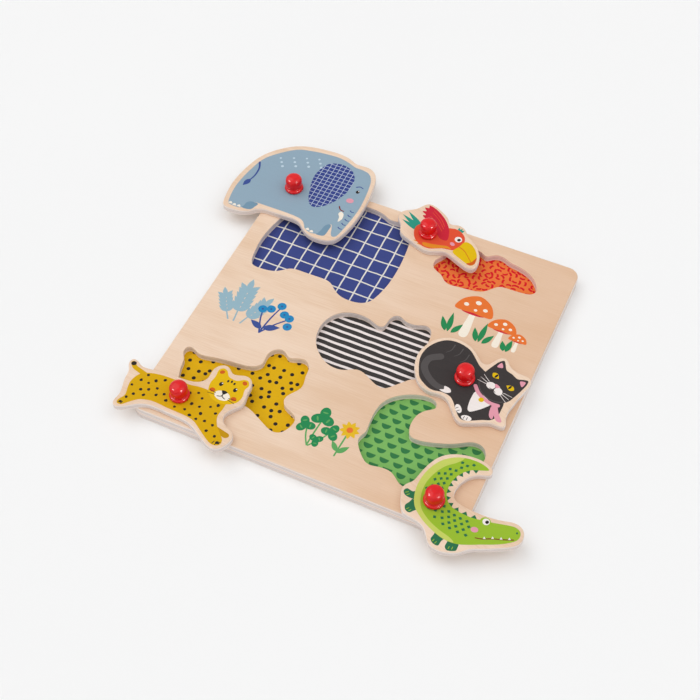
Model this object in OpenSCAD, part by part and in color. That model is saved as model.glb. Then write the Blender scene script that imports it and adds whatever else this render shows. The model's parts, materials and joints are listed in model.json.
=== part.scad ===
// A wooden peg puzzle: a square board with five animal-shaped wells, and five animal pieces,
// each with a turned knob. The pieces lie on the board, out of their wells.
// Millimetres, +Z up, +X along the front edge; the origin is the middle of the board's underside.

/* [Board] */
// Width and depth of the square board
board_size = 270; // [264:1:300]
// Radius of the board's four corners
board_corner_r = 10; // [6:0.5:14]
// Thickness of the backing sheet, which is the floor of the wells
backing_t = 6; // [4:0.5:9]
// Thickness of the top sheet, which is the depth of the wells
panel_t = 6; // [5:0.5:9]
// Rounding of the board's outer edges
board_ease = 1; // [0.5:0.1:1.6]
// Gap all round between a piece and the wall of its well
well_gap = 0.8; // [0.5:0.1:1.2]

/* [Pieces] */
// Thickness of the five animal pieces
piece_t = 6; // [5:0.5:8]
// Rounding of the top and bottom edges of the pieces
piece_ease = 0.9; // [0.4:0.1:1.3]

/* [Elephant] */
// Length from rump to trunk
elephant_w = 117; // [112:1:119]
// Height from feet to back
elephant_h = 98; // [92:1:100]
// Turn of the piece as it lies, anticlockwise
elephant_turn = 0; // [-20:1:20]

/* [Bird] */
// Length from tail to beak
bird_w = 86; // [80:1:92]
// Height from belly to crown
bird_h = 46; // [42:1:52]
// Turn of the piece as it lies, anticlockwise
bird_turn = -26; // [-40:1:0]

/* [Cat] */
// Length from rump to chest
cat_w = 93; // [88:1:94]
// Height from paws to ears
cat_h = 68; // [64:1:70]
// Turn of the piece as it lies, anticlockwise
cat_turn = -23; // [-35:1:0]

/* [Leopard] */
// Length from hind leg to fore paw
leopard_w = 106; // [101:1:109]
// Height from paws to ears
leopard_h = 72; // [67:1:77]
// Turn of the piece as it lies, anticlockwise
leopard_turn = -3; // [-15:1:10]

/* [Crocodile] */
// Length from the bend of the back to the snout
crocodile_w = 91; // [86:1:95]
// Height from feet to the tip of the tail
crocodile_h = 79; // [74:1:82]
// Turn of the piece as it lies, anticlockwise
crocodile_turn = -19; // [-35:1:0]

/* [Knobs] */
// Height of a knob above its piece
knob_h = 14.5; // [13:0.5:18]
// Diameter of the knob's head where it is widest
knob_head_d = 14; // [13:0.5:16]
// Height of that widest place, as a share of the knob's height
knob_widest_share = 0.63; // [0.56:0.01:0.7]
// Fullness of the head's shoulder: 1 is an ellipse, and less is squarer
knob_shoulder = 0.7; // [0.6:0.05:1]
// Diameter of the waist below the head
knob_waist_d = 11.5; // [9.5:0.5:12]
// Diameter of the knob's foot
knob_foot_d = 16; // [15:0.5:18]
// Height of the foot's rounded bead
knob_foot_h = 3.6; // [2.6:0.2:4.4]

/* [Screws] */
// Diameter of the screw's shank
screw_d = 3; // [2.5:0.1:3.5]
// Length of the screw
screw_len = 14; // [12:0.5:15]
// Diameter of the countersunk head
screw_head_d = 6; // [5.4:0.1:7]
// Depth of the head's top below the underside of the piece
screw_recess = 0.3; // [0.1:0.1:0.6]
// Width of the cross slot in the head
screw_slot_w = 0.9; // [0.6:0.1:1.1]

/* [Hidden] */

// Curve quality: points on each span of an outline, steps of an eased edge, sides of a turned part
span_steps = 4;
ease_steps = 2;
arc_steps = 8;
turned_sides = 96;

// One overrun for every cut, and the gap round a screw
cut_over = 0.5;
screw_gap = 0.05;
// Depth of the screw's cross slot, length of its point, and room beyond the point
screw_slot_depth = 1.1;
screw_point = 2.2;
screw_room = 0.6;

board_t = backing_t + panel_t;
screw_head_h = (screw_head_d - screw_d) / 2;
screw_bite = screw_recess + screw_len - piece_t;

// Outlines, anticlockwise from the hind foot: control points as shares of the animal's length
// and height, measured from the middle of the animal
elephant_shares = [[-0.465, -0.47], [-0.435, -0.505], [-0.37, -0.505], [-0.29, -0.495],
    [-0.24, -0.46], [-0.205, -0.415], [-0.165, -0.39], [-0.09, -0.39], [0, -0.39], [0.09, -0.385],
    [0.14, -0.405], [0.175, -0.45], [0.23, -0.5], [0.305, -0.515], [0.39, -0.505], [0.437, -0.465],
    [0.46, -0.415], [0.48, -0.325], [0.497, -0.225], [0.503, -0.1], [0.503, 0], [0.497, 0.1],
    [0.487, 0.22], [0.47, 0.335], [0.435, 0.41], [0.375, 0.45], [0.305, 0.44], [0.255, 0.44],
    [0.21, 0.48], [0.12, 0.5], [0, 0.495], [-0.12, 0.475], [-0.235, 0.43], [-0.35, 0.31],
    [-0.435, 0.175], [-0.475, -0.02], [-0.495, -0.2], [-0.483, -0.33]];
bird_shares = [[-0.44, -0.28], [-0.387, -0.32], [-0.353, -0.38], [-0.324, -0.445], [-0.274, -0.48],
    [-0.21, -0.467], [-0.14, -0.45], [-0.07, -0.44], [0.007, -0.415], [0.06, -0.365], [0.095, -0.287],
    [0.126, -0.22], [0.157, -0.16], [0.2, -0.133], [0.27, -0.133], [0.38, -0.125], [0.445, -0.11],
    [0.485, -0.075], [0.5, 0], [0.485, 0.085], [0.456, 0.18], [0.41, 0.27], [0.352, 0.337],
    [0.278, 0.387], [0.208, 0.41], [0.138, 0.433], [0.1, 0.48], [0.05, 0.503], [-0.006, 0.48],
    [-0.037, 0.418], [-0.068, 0.375], [-0.103, 0.387], [-0.132, 0.43], [-0.17, 0.457],
    [-0.276, 0.468], [-0.35, 0.463], [-0.402, 0.427], [-0.427, 0.338], [-0.427, 0.193],
    [-0.45, 0.085], [-0.487, -0.013], [-0.502, -0.087], [-0.5, -0.167], [-0.478, -0.24]];
cat_shares = [[-0.37, -0.385], [-0.305, -0.445], [-0.25, -0.47], [-0.19, -0.475], [-0.135, -0.46],
    [-0.09, -0.42], [-0.05, -0.39], [0, -0.382], [0.05, -0.405], [0.105, -0.447], [0.16, -0.485],
    [0.21, -0.508], [0.25, -0.5], [0.285, -0.45], [0.33, -0.38], [0.385, -0.29], [0.415, -0.25],
    [0.475, -0.23], [0.51, -0.2], [0.51, -0.155], [0.485, -0.125], [0.447, -0.06], [0.427, 0.005],
    [0.417, 0.085], [0.395, 0.215], [0.387, 0.315], [0.383, 0.415], [0.355, 0.49], [0.303, 0.51],
    [0.24, 0.46], [0.18, 0.452], [0.125, 0.46], [0.07, 0.515], [0.022, 0.49], [0.003, 0.41],
    [0.003, 0.33], [-0.01, 0.28], [-0.05, 0.262], [-0.09, 0.277], [-0.148, 0.313], [-0.205, 0.33],
    [-0.268, 0.333], [-0.33, 0.317], [-0.388, 0.283], [-0.437, 0.225], [-0.473, 0.152],
    [-0.496, 0.065], [-0.502, -0.015], [-0.494, -0.13], [-0.47, -0.22], [-0.425, -0.315]];
leopard_shares = [[-0.42, -0.42], [-0.405, -0.495], [-0.36, -0.5], [-0.3, -0.435], [-0.235, -0.35],
    [-0.155, -0.31], [-0.06, -0.31], [0.035, -0.31], [0.115, -0.305], [0.18, -0.32], [0.28, -0.395],
    [0.375, -0.47], [0.43, -0.48], [0.475, -0.44], [0.51, -0.315], [0.5, -0.225], [0.445, -0.19],
    [0.39, -0.165], [0.35, -0.095], [0.355, -0.015], [0.395, 0.065], [0.435, 0.155], [0.4, 0.285],
    [0.405, 0.385], [0.365, 0.475], [0.305, 0.475], [0.23, 0.41], [0.19, 0.47], [0.145, 0.505],
    [0.09, 0.455], [0.07, 0.365], [0.09, 0.26], [0.06, 0.19], [0.015, 0.15], [-0.06, 0.13],
    [-0.205, 0.115], [-0.33, 0.075], [-0.4, 0.06], [-0.44, 0.105], [-0.495, 0.125], [-0.51, 0.035],
    [-0.46, -0.035], [-0.455, -0.115], [-0.445, -0.185], [-0.4, -0.34]];
crocodile_shares = [[-0.495, -0.215], [-0.475, -0.265], [-0.41, -0.355], [-0.36, -0.405],
    [-0.315, -0.42], [-0.25, -0.4], [-0.17, -0.39], [-0.11, -0.41], [-0.055, -0.465], [-0.015, -0.495],
    [0.03, -0.5], [0.08, -0.49], [0.13, -0.46], [0.175, -0.42], [0.215, -0.37], [0.23, -0.315],
    [0.265, -0.26], [0.325, -0.2], [0.38, -0.135], [0.43, -0.07], [0.475, -0.01], [0.5, 0.045],
    [0.5, 0.1], [0.48, 0.155], [0.445, 0.195], [0.395, 0.205], [0.34, 0.19], [0.27, 0.13],
    [0.185, 0.08], [0.11, 0.05], [0.02, 0.015], [-0.06, 0], [-0.135, 0.005], [-0.165, 0.07],
    [-0.178, 0.13], [-0.178, 0.19], [-0.17, 0.255], [-0.148, 0.315], [-0.105, 0.37], [-0.06, 0.4],
    [-0.045, 0.43], [-0.065, 0.485], [-0.12, 0.5], [-0.18, 0.495], [-0.245, 0.475], [-0.31, 0.44],
    [-0.375, 0.39], [-0.43, 0.325], [-0.465, 0.25], [-0.48, 0.165], [-0.48, 0.08], [-0.475, -0.005],
    [-0.465, -0.08], [-0.468, -0.12], [-0.488, -0.165]];

// Middles of the wells and of the pieces as they lie, as shares of the board's size
elephant_well_shares = [-0.231, 0.289];
elephant_place_shares = [-0.419, 0.452];
bird_well_shares = [0.241, 0.367];
bird_place_shares = [0.064, 0.428];
cat_well_shares = [0.044, -0.021];
cat_place_shares = [0.344, -0.032];
leopard_well_shares = [-0.253, -0.282];
leopard_place_shares = [-0.369, -0.406];
crocodile_well_shares = [0.302, -0.273];
crocodile_place_shares = [0.485, -0.427];

// Where the knob stands on each piece, as shares of the animal's length and height
elephant_knob_shares = [-0.045, -0.065];
bird_knob_shares = [-0.117, -0.102];
cat_knob_shares = [-0.033, -0.048];
leopard_knob_shares = [-0.012, -0.075];
crocodile_knob_shares = [-0.225, -0.137];

// Each animal: outline shares, size, well, place on the board, turn and knob
elephant = [elephant_shares, [elephant_w, elephant_h], elephant_well_shares, elephant_place_shares,
    elephant_turn, elephant_knob_shares];
bird = [bird_shares, [bird_w, bird_h], bird_well_shares, bird_place_shares,
    bird_turn, bird_knob_shares];
cat = [cat_shares, [cat_w, cat_h], cat_well_shares, cat_place_shares,
    cat_turn, cat_knob_shares];
leopard = [leopard_shares, [leopard_w, leopard_h], leopard_well_shares, leopard_place_shares,
    leopard_turn, leopard_knob_shares];
crocodile = [crocodile_shares, [crocodile_w, crocodile_h], crocodile_well_shares,
    crocodile_place_shares, crocodile_turn, crocodile_knob_shares];

// A point on the smooth closed cubic spline that the points p steer, t of the way along span i
function spline_point(p, i, t) = let (n = len(p),
        a = p[(i + n - 1) % n], b = p[i], c = p[(i + 1) % n], d = p[(i + 2) % n])
    (a * pow(1 - t, 3) + b * (3 * pow(t, 3) - 6 * pow(t, 2) + 4)
        + c * (1 + 3 * t + 3 * pow(t, 2) - 3 * pow(t, 3)) + d * pow(t, 3)) / 6;

// The animal's outline at its real size, round its own middle
function outline(animal) = [for (i = [0:len(animal[0]) - 1]) for (k = [0:span_steps - 1])
    let (q = spline_point(animal[0], i, k / span_steps)) [q.x * animal[1].x, q.y * animal[1].y]];

// The outward direction across the line from a to b
function across(a, b) = [b.y - a.y, a.x - b.x] / norm(b - a);

// An outline moved outwards by d, each side parallel to itself
function grown(p, d) = let (n = len(p)) [for (i = [0:n - 1])
    let (before = across(p[(i + n - 1) % n], p[i]), after = across(p[i], p[(i + 1) % n]))
    p[i] + d * (before + after) / (1 + before * after)];

// Rings of an eased plate, bottom to top: how far each lies inside the outline, and its height
function eased_rings(t, e) = concat(
    [for (k = [0:ease_steps]) [e * (1 - sin(90 * k / ease_steps)), e * (1 - cos(90 * k / ease_steps))]],
    [for (k = [ease_steps:-1:0])
        [e * (1 - sin(90 * k / ease_steps)), t - e * (1 - cos(90 * k / ease_steps))]]);

// Whether corner b can be cut off the outline p, of which the corners in ring are left: the line
// a, b, c turns left there, and no other corner lies in the triangle that it cuts off
function is_ear(p, ring, a, b, c) = cross(p[b] - p[a], p[c] - p[b]) > 0 && len([for (i = ring)
    if (i != a && i != b && i != c && cross(p[b] - p[a], p[i] - p[a]) >= 0
        && cross(p[c] - p[b], p[i] - p[b]) >= 0 && cross(p[a] - p[c], p[i] - p[c]) >= 0) i]) == 0;

// Triangles that fill the outline p and stay inside its bays, cut off it one corner at a time
function filled(p, ring, at = 0) = let (n = len(ring),
        a = ring[at % n], b = ring[(at + 1) % n], c = ring[(at + 2) % n])
    n == 3 ? [ring]
    : is_ear(p, ring, a, b, c) ? concat([[a, b, c]], filled(p, [for (i = ring) if (i != b) i], at + 1))
    : filled(p, ring, at + 1);

// A solid through outlines stacked as rings of [inset, height]
module lofted(p, rings) {
    n = len(p);
    top = len(rings) - 1;
    corners = [for (i = [0:n - 1]) i];
    points = [for (r = rings) for (q = grown(p, -r[0])) [q.x, q.y, r[1]]];
    sides = [for (j = [0:top - 1]) for (i = corners) let (k = (i + 1) % n)
        [j * n + i, (j + 1) * n + i, (j + 1) * n + k, j * n + k]];
    polyhedron(points, concat(filled(grown(p, -rings[0][0]), corners), sides,
        [for (f = filled(grown(p, -rings[top][0]), corners)) [for (i = [2:-1:0]) top * n + f[i]]]));
}

// Right-hand edge of a sheet's section, bottom to top, out to the half width a
function sheet_edge(a, t, e_bottom, e_top) = concat(
    e_bottom > 0 ? [for (k = [0:ease_steps + 1]) let (w = 90 * k / (ease_steps + 1))
        [a - e_bottom * (1 - sin(w)), e_bottom * (1 - cos(w))]] : [[a, 0]],
    e_top > 0 ? [for (k = [ease_steps + 1:-1:0]) let (w = 90 * k / (ease_steps + 1))
        [a - e_top * (1 - sin(w)), t - e_top * (1 - cos(w))]] : [[a, t]]);

// A square sheet with rounded corners and eased edges: two crossed bars and four corner posts
module sheet(t, e_bottom, e_top) {
    straight = board_size - 2 * board_corner_r;
    half = sheet_edge(board_size / 2, t, e_bottom, e_top);
    n = len(half);
    for (turn = [0, 90]) rotate(turn) rotate([90, 0, 0]) linear_extrude(straight, center = true)
        polygon(concat(half, [for (i = [n - 1:-1:0]) [-half[i].x, half[i].y]]));
    for (turn = [0:90:270]) rotate(turn) translate([straight / 2, straight / 2, 0])
        rotate_extrude(angle = 90, $fn = turned_sides)
            polygon(concat([[0, 0]], sheet_edge(board_corner_r, t, e_bottom, e_top), [[0, t]]));
}

// The cut that makes an animal's well through the top sheet
module well_cut(animal)
    translate([animal[2].x * board_size, animal[2].y * board_size, backing_t - cut_over])
        linear_extrude(panel_t + 2 * cut_over) polygon(grown(outline(animal), well_gap));

// Puts what belongs to a piece where the piece lies on the board
module lying(animal)
    translate([animal[3].x * board_size, animal[3].y * board_size, board_t]) rotate(animal[4])
        children();

// Moves to the knob's axis on a piece
module at_knob(animal)
    translate([animal[5].x * animal[1].x, animal[5].y * animal[1].y, 0]) children();

// The cut for a countersunk screw, from the underside of a piece
module screw_cut() {
    mouth_r = screw_head_d / 2 + screw_gap;
    hole_r = screw_d / 2 + screw_gap;
    translate([0, 0, -cut_over]) cylinder(h = cut_over + screw_recess, r = mouth_r, $fn = turned_sides);
    translate([0, 0, screw_recess])
        cylinder(h = mouth_r - hole_r, r1 = mouth_r, r2 = hole_r, $fn = turned_sides);
    cylinder(h = piece_t + cut_over, r = hole_r, $fn = turned_sides);
}

// An animal cut from sheet, its edges eased, drilled for the knob's screw
module animal_piece(animal)
    lying(animal) difference() {
        lofted(outline(animal), eased_rings(piece_t, piece_ease));
        at_knob(animal) screw_cut();
    }

// Half section of the turned knob: a rounded foot, a cove, a waist and a barrel-shaped head
function knob_section() = let (
        bead = knob_foot_h / 2,
        bead_r = knob_foot_d / 2 - bead,
        waist = min(knob_waist_d / 2, bead_r - 0.2),
        cove = bead_r - waist,
        waist_z = knob_foot_h + cove,
        head = knob_head_d / 2,
        head_z = knob_widest_share * knob_h)
    concat([[0, 0]],
        [for (k = [0:arc_steps]) let (w = 180 * k / arc_steps - 90)
            [bead_r + bead * cos(w), bead * (1 + sin(w))]],
        [for (k = [1:arc_steps / 2]) let (w = 180 * k / arc_steps)
            [bead_r - cove * sin(w), knob_foot_h + cove * (1 - cos(w))]],
        [for (k = [1:arc_steps]) let (w = 90 * k / arc_steps)
            [waist + (head - waist) * sin(w), head_z - (head_z - waist_z) * cos(w)]],
        [for (k = [1:2 * arc_steps]) let (w = 90 * k / (2 * arc_steps))
            [head * pow(cos(w), knob_shoulder), head_z + (knob_h - head_z) * pow(sin(w), knob_shoulder)]]);

// A turned knob with a blind bore for the screw, standing on its piece
module animal_knob(animal)
    lying(animal) at_knob(animal) translate([0, 0, piece_t]) difference() {
        rotate_extrude($fn = turned_sides) polygon(knob_section());
        translate([0, 0, -cut_over])
            cylinder(h = cut_over + screw_bite + screw_room, r = screw_d / 2 + screw_gap,
                $fn = turned_sides);
    }

// A countersunk screw with a cross slot, driven up through the piece into the knob
module animal_screw(animal)
    lying(animal) at_knob(animal) translate([0, 0, screw_recess]) difference() {
        union() {
            cylinder(h = screw_head_h, d1 = screw_head_d, d2 = screw_d, $fn = turned_sides);
            cylinder(h = screw_len - screw_point, d = screw_d, $fn = turned_sides);
            translate([0, 0, screw_len - screw_point])
                cylinder(h = screw_point, d1 = screw_d, d2 = 0, $fn = turned_sides);
        }
        for (turn = [0, 90]) rotate(turn)
            translate([-screw_d / 2, -screw_slot_w / 2, -cut_over])
                cube([screw_d, screw_slot_w, cut_over + screw_slot_depth]);
    }

// Lower sheet: the floor of the wells
module backing_board() color([0.91, 0.8, 0.69]) sheet(backing_t, board_ease, 0);

// Upper sheet, glued to the lower one, with the five wells cut through it
module top_panel() color([0.93, 0.83, 0.73]) difference() {
    translate([0, 0, backing_t]) sheet(panel_t, 0, board_ease);
    for (animal = [elephant, bird, cat, leopard, crocodile]) well_cut(animal);
}

module elephant_piece() color([0.55, 0.67, 0.75]) animal_piece(elephant);
module bird_piece() color([0.87, 0.27, 0.2]) animal_piece(bird);
module cat_piece() color([0.24, 0.22, 0.22]) animal_piece(cat);
module leopard_piece() color([0.86, 0.67, 0.03]) animal_piece(leopard);
module crocodile_piece() color([0.55, 0.71, 0.16]) animal_piece(crocodile);

module elephant_knob() color([0.84, 0.1, 0.12]) animal_knob(elephant);
module bird_knob() color([0.84, 0.1, 0.12]) animal_knob(bird);
module cat_knob() color([0.84, 0.1, 0.12]) animal_knob(cat);
module leopard_knob() color([0.84, 0.1, 0.12]) animal_knob(leopard);
module crocodile_knob() color([0.84, 0.1, 0.12]) animal_knob(crocodile);

module elephant_screw() color([0.72, 0.73, 0.75]) animal_screw(elephant);
module bird_screw() color([0.72, 0.73, 0.75]) animal_screw(bird);
module cat_screw() color([0.72, 0.73, 0.75]) animal_screw(cat);
module leopard_screw() color([0.72, 0.73, 0.75]) animal_screw(leopard);
module crocodile_screw() color([0.72, 0.73, 0.75]) animal_screw(crocodile);

backing_board();
top_panel();
elephant_piece();
bird_piece();
cat_piece();
leopard_piece();
crocodile_piece();
elephant_knob();
bird_knob();
cat_knob();
leopard_knob();
crocodile_knob();
elephant_screw();
bird_screw();
cat_screw();
leopard_screw();
crocodile_screw();
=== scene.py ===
"""A wooden peg puzzle: a plywood board with five printed wells, and five animal pieces with knobs."""
import json
import math
import random

import bpy
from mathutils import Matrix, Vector

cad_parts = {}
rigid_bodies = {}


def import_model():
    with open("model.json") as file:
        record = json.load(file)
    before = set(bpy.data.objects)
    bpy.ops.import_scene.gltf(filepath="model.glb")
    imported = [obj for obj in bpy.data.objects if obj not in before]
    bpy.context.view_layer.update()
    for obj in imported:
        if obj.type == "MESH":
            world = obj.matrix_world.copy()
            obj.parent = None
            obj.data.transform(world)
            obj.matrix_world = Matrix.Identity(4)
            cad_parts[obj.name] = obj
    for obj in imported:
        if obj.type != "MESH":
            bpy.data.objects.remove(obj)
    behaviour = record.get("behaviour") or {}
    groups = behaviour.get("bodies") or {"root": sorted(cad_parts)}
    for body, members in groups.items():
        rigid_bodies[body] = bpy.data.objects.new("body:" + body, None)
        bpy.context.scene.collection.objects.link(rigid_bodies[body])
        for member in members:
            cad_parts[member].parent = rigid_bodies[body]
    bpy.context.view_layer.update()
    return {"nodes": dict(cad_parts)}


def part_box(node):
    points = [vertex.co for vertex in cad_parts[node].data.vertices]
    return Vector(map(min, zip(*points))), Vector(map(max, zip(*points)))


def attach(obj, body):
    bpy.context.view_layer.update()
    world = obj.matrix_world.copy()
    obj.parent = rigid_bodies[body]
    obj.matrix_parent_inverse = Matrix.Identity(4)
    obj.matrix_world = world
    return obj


for thing in list(bpy.data.objects):
    bpy.data.objects.remove(thing)
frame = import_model()
nodes = frame["nodes"]
MM = 0.001


# Backing board: a square sheet of three-ply with rounded corners, sanded and clear lacquered. It is
# glued under the top panel and is the floor of the wells.

def tint(red, green, blue):
    """A colour of these sRGB levels, from 0 to 255, in the linear levels that a shader takes."""
    levels = [level / 255 for level in (red, green, blue)]
    return [v / 12.92 if v <= 0.04045 else ((v + 0.055) / 1.055) ** 2.4 for v in levels] + [1]


class Flow:
    """A number, vector, colour or shape that leaves a node. What is done with it adds further nodes."""

    def __init__(self, net, socket):
        self.net = net
        self.socket = socket

    def maths(self, operation, *others):
        values = dict(enumerate([self, *others]))
        return self.net.node("ShaderNodeMath", {"operation": operation}, values)

    def __add__(self, other):
        return self.maths("ADD", other)

    def __radd__(self, other):
        return self + other

    def __sub__(self, other):
        return self.maths("SUBTRACT", other)

    def __rsub__(self, other):
        return self * -1 + other

    def __mul__(self, other):
        return self.maths("MULTIPLY", other)

    def __rmul__(self, other):
        return self * other

    def __abs__(self):
        return self.maths("ABSOLUTE")

    def fade(self, start, end):
        """Rises smoothly from 0 to 1 as the number passes from start to end."""
        return self.net.node("ShaderNodeMapRange", {"interpolation_type": "SMOOTHSTEP"},
                             {"Value": self, "From Min": start, "From Max": end})

    def below(self, limit, blur=0.08):
        """1 below the limit and 0 above it, with an edge that is soft by the blur on either side."""
        return self.fade(limit + blur, limit - blur)

    def mix(self, first, second):
        """The first colour where the number is 0, and the second where it is 1.

        The colours of a Mix node are its inputs 6 and 7 and its output 2.
        """
        return self.net.node("ShaderNodeMix", {"data_type": "RGBA"}, {0: self, 6: first, 7: second}, out=2)

    def bump(self, strength, depth):
        """The normal of a surface that has the number as its relief."""
        return self.net.node("ShaderNodeBump", {}, {"Height": self, "Strength": strength, "Distance": depth})

    def vector(self, operation, other):
        return self.net.node("ShaderNodeVectorMath", {"operation": operation}, {0: self, 1: other})

    def axis(self, number):
        """One number of a vector: 0 for X, 1 for Y and 2 for Z."""
        return self.net.node("ShaderNodeSeparateXYZ", {}, {0: self}, out=number)

    def turned(self, angle):
        return self.net.node("ShaderNodeVectorRotate", {"rotation_type": "Z_AXIS"},
                             {"Vector": self, "Angle": angle})

    def noise(self, sizes, detail=2, out="Fac"):
        """Cloudy noise from 0 to 1, whose clouds have about these three sizes in millimetres."""
        return self.net.node("ShaderNodeTexNoise", {}, {
            "Vector": self.vector("DIVIDE", sizes), "Scale": 1, "Detail": detail}, out=out)


class Net:
    """The nodes of a material, of the world or of a modifier."""

    def __init__(self, tree):
        self.tree = tree

    def feed(self, node, sockets):
        """Gives each socket of a node its value, or links it to what flows there."""
        for key, value in sockets.items():
            if isinstance(value, Flow):
                self.tree.links.new(value.socket, node.inputs[key])
            else:
                node.inputs[key].default_value = value

    def node(self, kind, settings, sockets, out=0):
        """Adds a node, makes its settings, feeds its sockets and gives one of its outputs."""
        made = self.tree.nodes.new(kind)
        for key, value in settings.items():
            setattr(made, key, value)
        self.feed(made, sockets)
        return Flow(self, made.outputs[out])


class Finish(Net):
    """The shader of a material or of the world, and the nodes that feed its sockets."""

    def __init__(self, name, kept_in=bpy.data.materials, shader="Principled BSDF", **fixed):
        self.owner = kept_in.new(name)
        self.owner.use_nodes = True
        super().__init__(self.owner.node_tree)
        self.shader = self.tree.nodes[shader]
        self.shows(**fixed)

    def place(self, turn=0, shift=0):
        """The place on the piece in millimetres, with X along its grain, shifted to another part of it."""
        at = self.node("ShaderNodeTexCoord", {}, {}, out="Object").vector("MULTIPLY", [1 / MM] * 3)
        return at.turned(-math.radians(turn)).vector("ADD", (shift, shift, 0))

    def shows(self, **sockets):
        """Feeds the shader's sockets, with _ for a space in a name, and gives the material or world."""
        self.feed(self.shader, {key.replace("_", " "): value for key, value in sockets.items()})
        return self.owner


def plywood(name, low, high, turn=0, shift=0, painted_shade=0.1):
    """Three-ply between two heights in millimetres: pale faces, and the plies and glue on its edges.

    Painted shade makes its faces darker and warmer towards the right, by up to the share that is given.
    """
    f = Finish(name, Specular_IOR_Level=0.2)
    at = f.place(turn, shift)
    fibre = at.noise((30, 0.8, 0.8), 4)
    cloud = at.noise((95, 19, 30), 3)
    fleck = at.noise((5, 0.32, 0.5), 1).fade(0.66, 0.78)
    pale, tan = tint(240, 214, 191), tint(227, 194, 164)
    shaded_honey, umber = tint(216, 172, 136), tint(205, 168, 138)
    left, right = -70, 130
    face = (cloud * 0.55 + fibre * 0.45).fade(0.32, 0.7).mix(pale, tan)
    # Painted shade: the faces turn darker and warmer towards the right.
    face = (at.axis(0).fade(left, right) * painted_shade).mix(face, shaded_honey)
    face = (fleck * 0.3).mix(face, umber)

    # Each joint lies a sixth of the thickness off the middle, and bends a little along the edge.
    joint, glue, blur = (high - low) / 6, 0.2, 0.1
    up = at.axis(2)
    bend = at.noise((9, 9, 40)) * 0.5 - 0.25
    off_middle = abs(up - (low + high) / 2 + bend)
    grit = at.noise((0.7, 0.7, 0.3))
    dark = grit.fade(0.3, 0.7)
    core = dark.mix(tint(232, 221, 216), tint(219, 206, 200))
    outer = dark.mix(tint(243, 233, 227), tint(234, 220, 213))
    edge = off_middle.below(joint, blur).mix(outer, core)
    edge = (abs(off_middle - joint).below(glue, blur) * 0.4).mix(edge, tint(170, 145, 130))

    # 1 on the sawn edges, and 0 on the two faces.
    cut = (up - low).maths("MINIMUM", high - up).fade(0.15, 0.6)
    relief = fibre * 0.6 + grit * cut * 0.8 - fleck * 0.4
    return f.shows(Base_Color=cut.mix(face, edge), Roughness=0.52 + cut * 0.16 - fibre * 0.1,
                   Normal=relief.bump(0.25, 0.06 * MM))


def welded(node, crease):
    """Joins the imported facets and shades them smooth below the crease angle, level faces flat."""
    weld, upright = 0.001 * MM, 0.999
    group = bpy.data.node_groups.new(node.name + "_shading", "GeometryNodeTree")
    for way in ("INPUT", "OUTPUT"):
        group.interface.new_socket("Geometry", in_out=way, socket_type="NodeSocketGeometry")
    net = Net(group)
    facets = net.node("NodeGroupInput", {}, {})
    mesh = net.node("GeometryNodeMergeByDistance", {}, {"Geometry": facets, "Distance": weld})
    fold = net.node("GeometryNodeInputMeshEdgeAngle", {}, {})
    rise = abs(net.node("GeometryNodeInputNormal", {}, {}, out="Normal").axis(2))
    shaded = net.node("GeometryNodeSetMeshNormal", {}, {
        "Mesh": mesh,
        "Edge Sharpness": fold.maths("GREATER_THAN", math.radians(crease)),
        "Face Sharpness": rise.maths("GREATER_THAN", upright)})
    net.feed(group.nodes.new("NodeGroupOutput"), {"Geometry": shaded})
    node.modifiers.new("shading", "NODES").node_group = group


def dressed(name, material, crease):
    """Gives a solid of the frame its finish, and edges that look sharp from the crease angle on."""
    node = nodes[name]
    node.data.materials.clear()
    node.data.materials.append(material)
    welded(node, crease)


board_low, board_mid = (corner.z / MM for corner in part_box("backing_board"))
dressed("backing_board", plywood("backing_plywood", board_low, board_mid, shift=140), crease=30)


# Prints in the wells: five animal-shaped sheets of ink on the backing board, each in the pattern of
# the piece that lies there. The check, stripes, dots, dashes and half discs are screen printed.

def moved(points, x, y, turn):
    """The points turned anticlockwise by so many degrees, and then shifted by x and y."""
    c, s = math.cos(math.radians(turn)), math.sin(math.radians(turn))
    return [(x + c * u - s * v, y + s * u + c * v) for u, v in points]


class Face:
    """A flat face to print on: its body, its middle and height in metres, the drawing's unit and turn."""

    def __init__(self, body, middle, top, unit, turn=0):
        self.body, self.middle, self.top, self.unit, self.turn = body, middle, top, unit, turn

    def laid(self, shape, up):
        """The points of a shape on the face, or so far above it."""
        flat = moved([(self.unit * x, self.unit * y) for x, y in shape], *self.middle, self.turn)
        return [(x, y, self.top + up) for x, y in flat]


def printed(name, face, layers):
    """Ink on a face, as one piece of thin closed films: each layer is printed over those before it.

    The shapes of one layer differ a little in thickness, so that no two upper faces coincide.
    """
    film, step, steps = 0.02 * MM, 0.001 * MM, 19
    points, faces, picks = [], [], []
    for level, (_, shapes) in enumerate(layers):
        for number, shape in enumerate(shapes):
            area = sum(a[0] * b[1] - b[0] * a[1] for a, b in zip(shape, shape[1:] + shape[:1]))
            ring = shape if area > 0 else shape[::-1]
            first, count = len(points), len(ring)
            points += face.laid(ring, 0) + face.laid(ring, film * (level + 1) + step * (number % steps))
            lower = list(range(first, first + count))
            upper = [i + count for i in lower]
            sides = [[lower[i - 1], lower[i], upper[i], upper[i - 1]] for i in range(count)]
            faces += [lower[::-1], upper] + sides
            picks += [level] * (count + 2)
    mesh = bpy.data.meshes.new(name)
    mesh.from_pydata(points, [], faces)
    for material, _ in layers:
        mesh.materials.append(material)
    mesh.polygons.foreach_set("material_index", picks)
    made = bpy.data.objects.new(name, mesh)
    bpy.context.scene.collection.objects.link(made)
    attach(made, face.body)


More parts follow.
